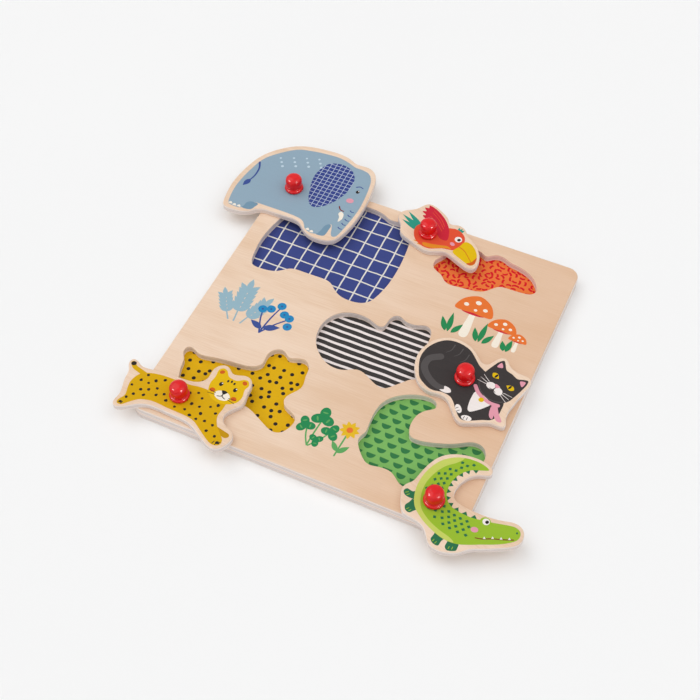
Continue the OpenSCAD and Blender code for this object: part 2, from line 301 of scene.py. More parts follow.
def inked(f, colour):
    """Finishes a printed colour: matt ink through which a little of the grain shows."""
    at = f.place()
    veil = at.noise((16, 0.9, 4), 3) * 0.6 + at.noise((1.2, 1.2, 4)) * 0.4
    colour = (veil.fade(0.35, 0.75) * 0.05).mix(colour, tint(120, 100, 90))
    return f.shows(Base_Color=colour, Roughness=0.45 + veil * 0.12, Specular_IOR_Level=0.06,
                   Normal=veil.bump(0.12, 0.05 * MM))


def ink(name, red, green, blue):
    """A printed colour of these sRGB levels."""
    return inked(Finish("ink_" + name), tint(red, green, blue))


def patterned(name, ground, mark, drift, masked, **sizes):
    """A printed pattern: masked() gives 1 where its mark lies, at places that sway within the drift.

    The drift and the sizes are in millimetres.
    """
    f = Finish("pattern_" + name)
    at = f.place()
    sway = at.noise((16, 16, 16), 1, "Color").vector("SUBTRACT", (0.5, 0.5, 0.5))
    at = at.vector("ADD", sway.vector("MULTIPLY", (drift, drift, 0)))
    return inked(f, masked(at, **sizes).mix(ground, mark))


def stripes(at, along, apart, wide):
    """Lines at equal distances along an axis."""
    off = abs((at.axis(along) * (1 / apart) + 0.5).maths("FRACT") - 0.5) * apart
    return off.below(wide / 2)


def check(at, across, down, wide):
    return stripes(at, 0, across, wide).maths("MAXIMUM", stripes(at, 1, down, wide))


def cells(at, apart, out):
    """Points strewn about so far apart: the distance to the nearest, its position or its own colour."""
    return at.net.node("ShaderNodeTexVoronoi", {"voronoi_dimensions": "2D"}, {
        "Vector": at.vector("DIVIDE", (apart, apart, apart)), "Scale": 1, "Randomness": 0.7}, out=out)


def dots(at, apart, radius):
    return (cells(at, apart, "Distance") * apart).below(radius, 0.1)


def dashes(at, apart, long, wide):
    """Short curved strokes, one in each cell of a loose net, each turned its own way."""
    bow, sag = 0.13, 0.4
    near = at.vector("DIVIDE", (apart, apart, apart)).vector("SUBTRACT", cells(at, apart, "Position"))
    local = near.turned(cells(at, apart, "Color").axis(0) * math.tau)
    u = local.axis(0) * apart
    v = local.axis(1) * apart + u * u * bow - sag
    return abs(v).below(wide / 2, 0.07) * abs(u).below(long / 2, 0.075)


def half_discs(at, across, down, radius):
    """Staggered rows of half discs, flat side up.

    The flat sides lie at a share of a row's height, and a round disc has a share of these discs' height.
    """
    flat_share, round_share = 0.72, 0.86
    row = (at.axis(1) * (1 / down)).maths("FLOOR")
    u = ((at.axis(0) * (1 / across) + row * 0.5).maths("FRACT") - 0.5) * across
    v = (at.axis(1) - (row + flat_share) * down) * round_share
    reach = (u * u + v * v).maths("SQRT")
    return reach.below(radius) * v.below(0)


def well_outlines():
    """The walls of the wells, read from the lower face of the top panel, in millimetres.

    An edge of the face is on a rim where no neighbour runs along it the other way. The widest rim is
    the outside of the panel.
    """
    panel = nodes["top_panel"].data
    slack, digits = 0.01 * MM, 3
    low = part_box("top_panel")[0].z + slack
    edges = []
    for face in panel.polygons:
        corners = [panel.vertices[i].co for i in face.vertices]
        if max(corner.z for corner in corners) < low:
            spots = [(round(corner.x / MM, digits), round(corner.y / MM, digits)) for corner in corners]
            edges += zip(spots, spots[1:] + spots[:1])
    walked = set(edges)
    rim = {a: b for a, b in edges if (b, a) not in walked}
    loops = []
    while rim:
        spot = next(iter(rim))
        loop = []
        while spot in rim:
            loop.append(spot)
            spot = rim.pop(spot)
        loops.append(loop)
    return sorted(loops, key=lambda loop: max(x for x, _ in loop) - min(x for x, _ in loop))[:-1]


def centre(loop):
    return sum(map(Vector, loop), Vector((0, 0))) / len(loop)


# The first pair says which quarter of the board holds a well's middle, and 0, 0 is the board's own.
wells = {
    "elephant": ((-1, 1), patterned("check", tint(60, 72, 134), tint(228, 224, 216), 1.8,
                                    check, across=13.8, down=13.4, wide=1.2)),
    "bird": ((1, 1), patterned("dashes", tint(234, 122, 60), tint(214, 20, 40), 0.8,
                               dashes, apart=4.8, long=4.45, wide=1.9)),
    "cat": ((0, 0), patterned("stripes", tint(60, 57, 56), tint(238, 228, 226), 1.3,
                              stripes, along=1, apart=6.2, wide=2.3)),
    "leopard": ((-1, -1), patterned("dots", tint(222, 174, 14), tint(40, 36, 34), 0.8,
                                    dots, apart=7.8, radius=1.6)),
    "crocodile": ((1, -1), patterned("half_discs", tint(124, 182, 98), tint(52, 120, 70), 1.4,
                                     half_discs, across=10.8, down=7.1, radius=3.7)),
}
well_floor = Face("board", (0, 0), board_mid * MM, MM)
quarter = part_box("top_panel")[1].x / MM / 2
outlines = well_outlines()
for animal, (corner, pattern) in wells.items():
    spot = Vector(corner) * quarter
    outline = min(outlines, key=lambda loop: (centre(loop) - spot).length)
    printed(animal + "_well_print", well_floor, [(pattern, [outline])])


# Top panel: a sheet of the same three-ply with the five wells sawn through, glued on the backing
# board. Three groups of plants are printed on its bare face, and the rims of the wells are sanded.

def curved(a, b, c, d, t):
    """The number at the share t of the way from b to c, on a smooth curve through all four."""
    return (2 * b + (c - a) * t + (2 * a - 5 * b + 4 * c - d) * t * t + (3 * b - a - 3 * c + d) * t ** 3) / 2


def smooth(points, closed=True, steps=6):
    """A smooth line through the points, with so many steps from each to the next."""
    count = len(points)
    line = []
    for i in range(count if closed else count - 1):
        near = [points[k % count] if closed else points[max(0, min(count - 1, k))]
                for k in range(i - 1, i + 3)]
        line += [tuple(curved(*numbers, step / steps) for numbers in zip(*near)) for step in range(steps)]
    return line if closed else line + [points[-1]]


def oval(x, y, wide, high, turn=0):
    """An oval about x, y."""
    sides = 32
    angles = [math.tau * k / sides for k in range(sides)]
    return moved([(wide / 2 * math.cos(a), high / 2 * math.sin(a)) for a in angles], x, y, turn)


def leaf(x, y, long, wide, turn):
    """A pointed leaf from its stalk at x, y, widest a little before its middle."""
    steps, lean = 10, 0.8
    side = [(long * k / steps, wide / 2 * math.sin(math.pi * (k / steps) ** lean)) for k in range(steps + 1)]
    return moved(side + [(u, -v) for u, v in side[-2:0:-1]], x, y, turn)


def round_end(a, b):
    """The points between a and b on a half circle."""
    sides = 6
    x, y = (a[0] + b[0]) / 2, (a[1] + b[1]) / 2
    start, r = math.atan2(a[1] - y, a[0] - x), math.hypot(a[0] - x, a[1] - y)
    angles = [start - math.pi * k / sides for k in range(1, sides)]
    return [(x + r * math.cos(w), y + r * math.sin(w)) for w in angles]


def stroke(points, wide, tip=None, steps=6):
    """A brush line along the points, with round ends, that runs from one width to another."""
    line = smooth(points, closed=False, steps=steps)
    last = len(line) - 1
    tip = wide if tip is None else tip
    left, right = [], []
    for i, (x, y) in enumerate(line):
        (ax, ay), (bx, by) = line[max(0, i - 1)], line[min(last, i + 1)]
        r = (wide + (tip - wide) * i / last) / 2 / math.hypot(bx - ax, by - ay)
        left.append((x - (by - ay) * r, y + (bx - ax) * r))
        right.append((x + (by - ay) * r, y - (bx - ax) * r))
    return left + round_end(left[-1], right[-1]) + right[::-1] + round_end(right[0], left[0])


panel_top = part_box("top_panel")[1].z
# The panel's faces carry the most painted shade, darker and warmer towards the right.
dressed("top_panel", plywood("panel_plywood", board_mid, panel_top / MM, painted_shade=0.5), crease=30)
panel_face = Face("board", (0, 0), panel_top, MM)

dusk_blue = ink("dusk_blue", 150, 182, 196)
navy = ink("navy", 62, 82, 148)
sky_blue = ink("sky_blue", 40, 136, 190)
leaf_green = ink("leaf_green", 40, 136, 82)
grass_green = ink("grass_green", 96, 166, 96)
orange = ink("orange", 232, 118, 52)
crimson = ink("crimson", 205, 38, 58)
cream = ink("cream", 246, 236, 220)
yellow = ink("yellow", 230, 186, 40)


def sprig(x, y, turn, long):
    """A stalk with five pairs of leaves and one at its tip, growing from x, y."""
    pairs, leaf_long, leaf_wide = 5, long * 0.3, long * 0.13
    parts = [stroke([(0, 0), (long * 0.5, 0.6), (long * 0.9, 0)], 1.3, 0.7),
             leaf(long * 0.8, 0, leaf_long, leaf_wide, 0)]
    parts += [leaf(long * (0.25 + 0.6 * i / pairs), 0, leaf_long, leaf_wide, side * 42)
              for i in range(pairs) for side in (-1, 1)]
    return [moved(part, x, y, turn) for part in parts]


fern = sprig(-106, -30, 122, 30) + sprig(-101, -30, 96, 41) + sprig(-95, -30, 68, 33)
berry_stalks = [stroke([(-77, -32), halfway, tip], 1.5, 1.1) for halfway, tip in
                (((-75, -16), (-72, -3)), ((-69, -20), (-62, -12)), ((-82, -20), (-84, -12)))]
berry_leaves = [leaf(-76.6, -27, 14, 6, 24), leaf(-77, -28, 12.6, 5.4, 158)]
berries = [(-72, -1), (-78.6, -7), (-66.4, -8), (-61, -10), (-59, -18), (-85, -9.6)]
printed("blue_plant_print", panel_face, [
    (dusk_blue, fern),
    (navy, berry_stalks + berry_leaves),
    (sky_blue, [oval(x, y, 7.4, 7.4) for x, y in berries]),
    (navy, [oval(x, y, 1.7, 1.7) for x, y in berries]),
])


def toadstool(x, y, tall, wide):
    """Stem, gills, cap and the dots on the cap of one toadstool that stands at x, y."""
    stem = smooth([(u * wide, v * tall) for u, v in (
        (-0.1, 0), (0.12, 0), (0.09, 0.5), (0.1, 0.75), (-0.1, 0.75), (-0.07, 0.5))])
    cap = smooth([(u * wide, v * tall) for u, v in (
        (-0.5, 0.62), (-0.36, 0.9), (0, 1.05), (0.36, 0.9),
        (0.5, 0.62), (0.25, 0.58), (0, 0.6), (-0.25, 0.58))])
    gills = oval(0, 0.59 * tall, 0.62 * wide, 0.1 * tall)
    spots = [oval(u * wide, v * tall, size * wide, size * wide * 0.85) for u, v, size in
             ((-0.25, 0.76, 0.13), (0.02, 0.88, 0.15), (0.26, 0.75, 0.12), (0.03, 0.68, 0.09))]
    return [[moved(shape, x, y, 0) for shape in shapes] for shapes in ([stem], [gills], [cap], spots)]


toadstools = [toadstool(70, 33, 40, 32), toadstool(97, 33, 27, 24), toadstool(112, 34, 17, 15)]
stems, gills, caps, cap_dots = (sum(shapes, []) for shapes in zip(*toadstools))
blades = [leaf(x, 31, long, 4.6, turn) for x, long, turn in (
    (56, 15, 118), (58, 20, 96), (61, 13, 62), (82, 14, 112), (84, 21, 88), (87, 13, 60), (105, 10, 112),
    (107, 13, 84))]
printed("orange_plant_print", panel_face, [
    (cream, stems),
    (crimson, gills),
    (orange, caps),
    (cream, cap_dots),
    (leaf_green, blades),
])


def trefoil(x, y, size, turn, off, wide, high):
    """Three ovals about the head of a clover: its leaves, or the veins in them, as shares of its size."""
    return [moved(oval(size * off, 0, size * wide, size * high), x, y, turn + way) for way in (0, 115, 245)]


clover = [(4.5, -84, 10.4, 95), (-5.4, -95, 8.6, 120), (15, -93.6, 8.6, 70), (7.4, -104.4, 6.6, 40)]
clover_stalks = [stroke([(3, -111), (3.6, -98), (4.5, -86)], 1.3),
                 stroke([(3, -111), (-1, -104), (-3.6, -96)], 1.2),
                 stroke([(4, -111), (10, -103), (14, -95)], 1.2)]
flower_stalk = [stroke([(25.6, -111), (26.2, -100), (27, -88)], 1.3),
                leaf(26, -108, 11, 4.4, 50), leaf(25.6, -107, 10, 4.2, 132)]
petals = [moved(leaf(1.4, 0, 6.6, 3.7, 0), 27, -86, turn) for turn in range(0, 360, 40)]
printed("green_plant_print", panel_face, [
    (grass_green, clover_stalks + flower_stalk),
    (leaf_green, [shape for head in clover for shape in trefoil(*head, 0.42, 1, 0.8)]),
    (grass_green, [shape for head in clover for shape in trefoil(*head, 0.44, 0.14, 0.42)]),
    (yellow, petals),
    (orange, [oval(27, -86, 5, 5)]),
])


# Elephant: a piece sawn from three-ply, its edges sanded round, printed with a grey elephant inside
# a bare margin. The drawing's unit is a hundredth of the piece's length.

grey = ink("grey", 146, 170, 187)
slate = ink("slate", 118, 150, 172)
pale_blue = ink("pale_blue", 190, 210, 222)
pink = ink("pink", 228, 156, 172)
black = ink("black", 42, 39, 38)
white = ink("white", 242, 234, 230)
brown = ink("brown", 128, 46, 40)
fine_check = patterned("fine_check", tint(56, 70, 138), tint(188, 200, 220), 0.8,
                       check, across=4.4, down=4.1, wide=0.5)


def piece(animal, turn):
    """Finishes an animal's piece and gives its upper face, turned as the piece lies."""
    name = animal + "_piece"
    grain_step = 17
    low, high = (corner.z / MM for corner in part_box(name))
    dressed(name, plywood(animal + "_plywood", low, high, turn, shift=grain_step * turn), crease=40)
    flat = moved([(v.co.x, v.co.y) for v in nodes[name].data.vertices], 0, 0, -turn)
    (left, right), (front, back) = ((min(values), max(values)) for values in zip(*flat))
    [middle] = moved([((left + right) / 2, (front + back) / 2)], 0, 0, turn)
    return Face(animal, middle, high * MM, (right - left) / 100, turn)


elephant_body = smooth([
    (-43.5, -36.5), (-41, -38.6), (-34, -38.8), (-31.5, -36.5), (-30.5, -31.5), (-26, -29.3), (-14, -29),
    (0, -29), (9, -29.6), (14, -31), (17, -34), (19.5, -37.6), (24, -39.3), (29, -38.6), (30.6, -34),
    (31.6, -28.5), (35, -26), (37, -29.5), (38.5, -34), (40.5, -36.4), (43, -35), (44.4, -30), (45.6, -22),
    (46.8, -12), (47.2, -2), (46.6, 7), (45.4, 17), (43.4, 26), (39.6, 31.6), (34, 33.6), (27, 34),
    (20, 36.6), (11, 38.3), (0, 37.7), (-11, 36), (-21.5, 32.6), (-32.5, 23), (-40, 13), (-43.8, -1),
    (-45.8, -16), (-45.4, -27)])
elephant_far_legs = [
    smooth([(-33, -31), (-23, -29.5), (-23.6, -34), (-25, -36.8), (-29, -38), (-33, -37)]),
    smooth([(28, -28), (35, -26.5), (35.6, -32), (35, -37.5), (32, -39), (28, -38)])]
elephant_ear = smooth([
    (3, 17), (7, 28.5), (16, 32.5), (26, 30), (32, 21.5), (32.4, 10), (29, -1.5), (23, -11), (15.6, -15.6),
    (10, -12), (6.6, -3.5), (3.6, 7)])
back_spots = [oval(-28.5 + 9.1 * i - 2.5 * j, 19.6 + 3.6 * j + 4.4 * i - 0.28 * i * i,
                   1.7 - 0.25 * j, 1.7 - 0.25 * j) for j in (0, -1, -2) for i in range(4)]
toenails = [smooth([(x - 1.5, y), (x, y + 1.9), (x + 1.5, y)], steps=5) for x, y in
            ((-41.5, -37.6), (-38, -38.2), (-34.4, -38), (21.4, -37.8), (24.9, -38.6))]
trunk_folds = [stroke([(x, y), (x + 1.5, y - 0.9), (x + 3.1, y - 0.7)], 0.8, 0.6) for x, y in
               ((42, -8), (42.2, -12.6), (42, -17.2), (41.6, -21.8), (40.8, -26.4))]
tail = [stroke([(-41, 9), (-38.4, 3), (-38, -5), (-39.8, -12)], 1.5, 1), leaf(-39.1, -9.5, 8.5, 4.2, -107)]
brow = stroke([(36.4, 15.6), (38.8, 17), (41.4, 16.2)], 0.9, 0.7)
tusk = smooth([(36.4, -11.6), (39, -13.2), (40, -17.6), (38.2, -21.6), (37.2, -17), (35.4, -14.4)])
printed("elephant_print", piece("elephant", 0), [
    (slate, elephant_far_legs),
    (grey, [elephant_body]),
    (pale_blue, back_spots),
    (navy, [brow] + tail + trunk_folds),
    (fine_check, [elephant_ear]),
    (pink, [oval(37.6, 1, 5.6, 4.6, 10)]),
    (cream, [tusk] + toenails),
    (brown, [stroke([(33, -7.4), (34.9, -10), (37.8, -10.6)], 0.9, 0.8)]),
    (black, [oval(39.2, 11.4, 2.7, 3.1)]),
    (white, [oval(39.7, 12.1, 0.9, 0.9)]),
])


# Bird: a small piece sawn from three-ply, printed with a red bird, its wing raised, with a large
# yellow beak and a blue-green tail.

scarlet = ink("scarlet", 226, 82, 52)
sea_green = ink("sea_green", 45, 150, 130)
bright_yellow = ink("bright_yellow", 226, 186, 10)
amber = ink("amber", 226, 142, 40)
rust = ink("rust", 208, 96, 30)

tail_feathers = [leaf(-18, -6, 28, 5, 170), leaf(-18, -8, 28.5, 5, 180), leaf(-18, -10, 24, 4.6, 187)]
crest = [leaf(7, 17, 7.4, 3, turn) for turn in (75, 100, 125)]
claws = [stroke([(-9, -20), (-13.6, -22)], 1.2), stroke([(-4, -20.4), (-8, -22.2)], 1.2)]
bird_body = smooth([
    (-26, -8), (-22, -15), (-14, -20.4), (-4, -21.2), (3, -18.6), (8, -13), (12, -8), (17, -4.4), (20.5, -1),
    (21.5, 6), (20, 13), (15.5, 18), (9, 20), (2, 19), (-3, 15), (-10, 10), (-18, 5), (-24, -1)])
bird_breast = smooth([
    (-2, -19.6), (5, -15.5), (10, -9.6), (14.5, -5), (18, -2.2), (13, -2.6), (8, -6.6), (2, -11.6),
    (-6, -17.4)])
bird_wing = smooth([
    (7, 2), (3, 8.6), (-3, 14), (-11, 18.2), (-20, 20.8), (-30, 21.8), (-38, 20.4), (-36, 17.4), (-39, 14.6),
    (-34.6, 12.6), (-37, 9.6), (-31.2, 8.8), (-32.6, 5.8), (-26.6, 5), (-17, 3.4), (-6, 0.6), (1, -1.4)])
wing_feathers = [stroke([(-6, 9.6), (-17, 14), (-29, 16)], 0.7, 0.4),
                 stroke([(-5, 6.4), (-15, 9.6), (-27, 11.2)], 0.7, 0.4),
                 stroke([(-8, 12.8), (-18, 17), (-30, 19)], 0.7, 0.4)]
beak = smooth([
    (20, 14), (25, 16.8), (32, 15.6), (39, 12), (44, 6.8), (46.4, 1.6), (45, -2.2), (40, -3.5), (32, -4),
    (24, -4.2), (20.6, -2), (20.8, 6)])
beak_tip = smooth([(42, 9), (45, 5), (46.4, 1.6), (45, -2.2), (41, -3.4), (42.8, 1.6)])
printed("bird_print", piece("bird", -26), [
    (sea_green, tail_feathers + crest),
    (amber, claws),
    (scarlet, [bird_body]),
    (amber, [bird_breast]),
    (crimson, [bird_wing]),
    (scarlet, wing_feathers),
    (bright_yellow, [beak]),
    (rust, [beak_tip, stroke([(21.4, 5.6), (28, 6), (35, 3.8), (42.6, 1)], 0.8, 0.6)]),
    (pink, [oval(14, 3, 5.2, 4)]),
    (white, [oval(13.6, 11.4, 7.4, 7)]),
    (black, [oval(14.4, 11.4, 3.4, 3.6)]),
])


# Cat: a piece sawn from three-ply, printed with a black cat that lies with its tail round it, with
# white paws and breast, and a pink collar with a bell.

coal = ink("coal", 60, 56, 56)
smoke = ink("smoke", 84, 80, 80)

cat_body = smooth([
    (-34, -26), (-28, -30), (-19, -31.4), (-13, -30.2), (-7, -26.4), (0, -24.6), (6, -26.4), (13, -30.6),
    (20, -33.6), (24.5, -32.6), (29, -28), (34, -21.6), (38.4, -17), (39.6, -11), (37.6, -4), (33, 4),
    (20, 12), (6, 14), (-4, 15), (-12, 18), (-20, 20.8), (-28, 20.6), (-36, 18), (-42.4, 12.6), (-46, 4),
    (-46.6, -6), (-43, -16)])
cat_head = smooth([
    (2.8, 15), (3.2, 7), (7.4, 0.4), (14.6, -3.4), (23.6, -3.8), (31.4, -0.6), (35.6, 6), (36, 14),
    (35.6, 22), (34.8, 29), (33, 33), (30, 31.6), (25.6, 28.2), (19.4, 28.4), (13.4, 28.2), (8.6, 32),
    (5.6, 33.6), (3.6, 29.4), (3, 22)])
cat_tail = stroke([(-33, -2), (-37.8, -10), (-35, -18.6), (-26, -23.6), (-15, -25), (-6, -22)], 6.4, 5.2, 8)
tail_tip = smooth([(-10, -26), (-4.8, -24.9), (-2, -21.4), (-4.8, -19.2), (-9.6, -20.4), (-8, -23.2)])
back_stripes = [stroke([(x, y), (x + 1.5, y - 6), (x, y - 11)], 1.1, 0.4)
                for x, y in ((-33, 15.4), (-25.6, 17.4), (-18, 16.6))]
breast = smooth([(12, -5), (27, -5), (26.6, -13), (22.6, -22), (20.4, -23.6), (17.6, -21.6), (13, -13)])
paws = [oval(13.4, -28, 8.8, 5, -30), oval(24, -29.8, 8.6, 5, 28)]
toes = [stroke([(x, y), (x + lean, y + 2.2)], 0.6, 0.5) for x, y, lean in
        ((11.6, -29.4, 0.8), (14.2, -30.6, 0.8), (22.6, -32, -0.6), (25.2, -31, -0.8))]
chin = stroke([(4, 7), (8.4, 0.8), (15, -2.8), (23.6, -3.2), (30.8, 0), (34.8, 6)], 0.8)
inner_ears = [smooth([(5.8, 30.6), (5.8, 25), (9.8, 27.6)]),
              smooth([(32.6, 30.4), (33.4, 24.8), (28.8, 27.8)])]
cheeks = [oval(15.7, 7.6, 8.6, 6.8, 14), oval(23.1, 7.6, 8.6, 6.8, -14)]
whiskers = [stroke([(x, y), (x + way * 7.4, y + lift)], 0.5, 0.3)
            for x, way in ((11.4, -1), (27.6, 1)) for y, lift in ((9.6, 2), (7.8, 0), (6, -2))]
nose = smooth([(17, 11.6), (21.8, 11.6), (19.4, 8.4)])
mouth = [stroke([(19.4, 8.6), (19.4 + way * 0.5, 5.8), (19.4 + way * 3, 5)], 0.7, 0.5) for way in (-1, 1)]
eyes = [leaf(7.8, 18, 7.6, 5, -8), leaf(31.4, 17.8, 7.6, 5, 188)]
bell = oval(19.8, -8.4, 4.4, 4.4)
collar = stroke([(7, -1.8), (13.4, -5), (20, -6), (27, -5.4), (33, -2.6)], 3.2)
ribbon = [smooth([(32, -2.6), (38, -7.4), (45.4, -11.8), (42, -14.2), (35.6, -11), (30.6, -6)]),
          smooth([(31.4, -3.4), (35.4, -9.4), (38.6, -15.4), (35, -15.2), (31, -10), (29.4, -5)])]
printed("cat_print", piece("cat", -23), [
    (coal, [cat_body]),
    (smoke, [cat_tail] + back_stripes),
    (white, [tail_tip, breast] + paws),
    (coal, toes),
    (pink, ribbon + [collar]),
    (coal, [cat_head]),
    (smoke, [chin]),
    (pink, inner_ears),
    (white, cheeks + whiskers),
    (pink, [nose]),
    (coal, mouth),
    (bright_yellow, eyes + [bell]),
    (black, [oval(12, 17.6, 1.9, 4.2), oval(27.2, 17.4, 1.9, 4.2)]),
])


# Leopard: a piece sawn from three-ply, printed with a walking leopard whose coat is strewn with
# loose dark spots.

ochre = ink("ochre", 216, 168, 4)
gold = ink("gold", 228, 184, 14)
deep_ochre = ink("deep_ochre", 196, 146, 14)


def within(path, x, y):
    """How far x, y lies inside a closed path, or less than zero where it lies outside."""
    near, hit = math.inf, False
    for (ax, ay), (bx, by) in zip(path, path[1:] + path[:1]):
        if (ay > y) != (by > y) and x < ax + (y - ay) * (bx - ax) / (by - ay):
            hit = not hit
        along = ((x - ax) * (bx - ax) + (y - ay) * (by - ay)) / ((bx - ax) ** 2 + (by - ay) ** 2)
        along = max(0, min(1, along))
        near = min(near, math.hypot(x - ax - along * (bx - ax), y - ay - along * (by - ay)))
    return near if hit else -near


def scattered(path, head, spacing, margin, draw):
    """Places strewn over a path at least so far apart, clear of its edge and of the head."""
    tries = 4000
    spots = []
    (left, right), (low, high) = ((min(values), max(values)) for values in zip(*path))
    for _ in range(tries):
        x, y = draw.uniform(left, right), draw.uniform(low, high)
        apart = all(math.hypot(x - a, y - b) > spacing for a, b in spots)
        if apart and within(path, x, y) > margin and within(head, x, y) < -margin:
            spots.append((x, y))
    return spots


def blot(x, y, size, draw):
    """A small uneven spot."""
    sides = 7
    start = draw.uniform(0, math.tau)
    radii = [size / 2 * draw.uniform(0.8, 1.15) for _ in range(sides)]
    angles = [start + math.tau * k / sides for k in range(sides)]
    return smooth([(x + r * math.cos(w), y + r * math.sin(w)) for r, w in zip(radii, angles)], steps=3)


leopard_body = smooth([
    (-37, -2), (-39.4, -9), (-38.6, -15), (-36.4, -22), (-38.4, -27.4), (-37.8, -30.4), (-34.2, -30.2),
    (-30, -25.4), (-24.6, -20.4), (-15.6, -17.8), (-5, -17.8), (5, -17.6), (12, -17.6), (19, -18.8),
    (28, -23.8), (37, -28.6), (42, -29), (45, -26.8), (44.4, -22.8), (40, -18.6), (35, -14), (31.4, -7.4),
    (31.6, 0), (30, 6), (20, 8.4), (9, 8.4), (0, 6.6), (-10, 5.6), (-22, 4.4), (-31, 2)])
leopard_head = smooth([
    (12, 14.6), (14, 8.6), (18.6, 4.2), (25, 2.6), (32, 4.2), (37.4, 8.6), (38.6, 14.6), (37, 20.4),
    (37.8, 25), (35.4, 28.4), (32, 28), (28.4, 25.2), (24.4, 24.8), (20.6, 25.8), (17.6, 29.2), (14, 30.2),
    (11.6, 27.2), (12.4, 21)])
leopard_tail = stroke([(-32, -1), (-38.6, 0.4), (-43.6, 1.6), (-46.6, 4.2)], 3.8, 3.4, 8)
far_leg = smooth([(22, -13), (28, -12.6), (34, -14.6), (41, -15.8), (46.2, -16.8), (47, -19), (44.6, -20.8),
                  (38, -19.6), (30, -19.6), (24, -18)])
claws = [stroke([(x, y), (x + 0.5, y + 2)], 0.6, 0.5) for x, y in
         ((-37.2, -29.8), (-35, -29.8), (39.6, -28.2), (41.8, -28.4), (43.8, -27))]
draw = random.Random(11)
coat = [blot(x, y, draw.uniform(2, 2.7), draw)
        for x, y in scattered(leopard_body, leopard_head, spacing=5.3, margin=1.9, draw=draw)]
inner_ears = [oval(14.8, 26.8, 3.8, 3.2, 40), oval(34.2, 25.6, 3.8, 3.2, -30)]
cheeks = [oval(16.4, 10.4, 4.2, 3.6), oval(34, 10.2, 4.2, 3.6)]
eyes = [oval(19.4, 17.4, 2.9, 3.6), oval(31, 17.4, 2.9, 3.6)]
nose = smooth([(23, 12.8), (25.2, 13.6), (27.4, 12.8), (25.2, 10.2)])
mouth = [stroke([(25.2, 10.6), (25.2 + way * 0.4, 8.4), (25.2 + way * 3.2, 7.2)], 0.8, 0.6)
         for way in (-1, 1)]
whiskers = [stroke([(25.2 + way * 5.4, y), (25.2 + way * 11, y + lift)], 0.5, 0.3)
            for way in (-1, 1) for y, lift in ((9, 0.8), (7.6, -0.8))]
brow_spots = [oval(x, y, 1.5, 2.2) for x, y in ((22.6, 21.8), (25.2, 22.6), (27.8, 21.8))]
printed("leopard_print", piece("leopard", -3), [
    (ochre, [leopard_tail]),
    (deep_ochre, [far_leg]),
    (ochre, [leopard_body]),
    (black, coat + claws + [oval(-46, 3.9, 4, 3.6, 35)]),
    (gold, [leopard_head]),
    (rust, inner_ears + cheeks),
    (cream, [oval(25.2, 9, 12, 7.8)]),
    (black, eyes + [nose] + mouth + whiskers + brow_spots),
    (white, [oval(20, 18.3, 1, 1), oval(31.6, 18.3, 1, 1)]),
])


# Crocodile: a curved piece sawn from three-ply, printed with a green crocodile, its tail raised,
# with a pale belly, rows of dark scales and a saw-toothed back.

lime = ink("lime", 152, 188, 50)
pale_lime = ink("pale_lime", 198, 210, 100)
forest = ink("forest", 44, 112, 76)

back_line = [(-13, 36), (-19.4, 30.4), (-23.4, 23), (-24.6, 14), (-23, 5.6), (-18.6, -2), (-11, -6.2),
             (-2, -5.8), (8, -3), (16, 1)]
crocodile_body = smooth([(-9.6, 39.6)] + back_line + [
    (24, 5.6), (31.6, 10.4), (38, 13.8), (43.4, 13.6), (46.4, 9.6), (46, 4.4), (41.6, -2.6), (35.6, -9.4),
    (28.6, -16), (22, -22.6), (14, -29), (4, -32.4), (-8, -32.6), (-20, -30.6), (-31, -26), (-39, -17),
    (-44, -5), (-45.4, 8), (-43.4, 20), (-37.6, 29.6), (-29.6, 36), (-21, 39.6), (-14, 40.6)])
belly = smooth([
    (-33, 27), (-31, 34.6), (-37.6, 29.6), (-43.4, 20), (-45.4, 8), (-44, -5), (-39, -17), (-31, -26),
    (-20, -30.6), (-8, -32.6), (4, -32.4), (12, -29.6), (7, -28), (-4, -28.6), (-16, -27.4), (-26.6, -23.4),
    (-34, -15), (-38.6, -4), (-39.4, 8), (-37.4, 18.6)])
feet = [
    smooth([(-38, -13), (-41, -17), (-46, -18), (-46.8, -21.4), (-43.6, -23.6), (-39, -23), (-34, -20)]),
    smooth([(-36, -22), (-28, -25), (-29, -30), (-30.6, -33.4), (-34.4, -33.4), (-37.2, -30.4),
            (-36.6, -26)]),
    smooth([(-4, -30), (4, -30.6), (4.4, -35), (5, -39.6), (0.8, -40.8), (-2.8, -39), (-3.6, -34.6)]),
    smooth([(8, -29), (15, -27), (17.4, -31), (17.6, -34), (13, -37.8), (9.6, -36.6), (8.4, -33)])]
ridge = smooth(back_line, closed=False, steps=8)


def beside(i, reach, off):
    """A place off the ridge between two of its points, the direction there in degrees, and their distance."""
    (ax, ay), (bx, by) = ridge[i], ridge[i + reach]
    long = math.hypot(bx - ax, by - ay)
    spot = ((ax + bx) / 2 + off * (by - ay) / long, (ay + by) / 2 - off * (bx - ax) / long)
    return *spot, math.degrees(math.atan2(by - ay, bx - ax)), long


# The teeth of the saw stand out from the back, and the scales lie in rows inside it.
tooth_reach, tooth_high = 5, 4.1
saw = []
for i in range(3, len(ridge) - tooth_reach, tooth_reach + 1):
    x, y, way, long = beside(i, tooth_reach, 1)
    saw.append(moved([(-long / 2, 0), (long / 2, 0), (0, tooth_high)], x, y, way))
scale = [(-1.7, 0), (0, -1.5), (1.7, 0), (0, 1.5)]
scale_step, head_reach = 4, 8
margin, belly_gap = 2.2, 2
scales = []
for row, off in enumerate((4.6, 8.6, 12.6, 16.4)):
    for i in range(2 + 2 * (row % 2), len(ridge) - head_reach, scale_step):
        x, y, way, _ = beside(i, 1, off)
        if within(crocodile_body, x, y) > margin and within(belly, x, y) < -belly_gap:
            scales.append(moved(scale, x, y, way))
jaw = [(44.4, 4.4), (38.8, -0.6), (32, -6), (26, -11.8), (21.6, -14.6)]
bite = smooth(jaw, closed=False, steps=4)
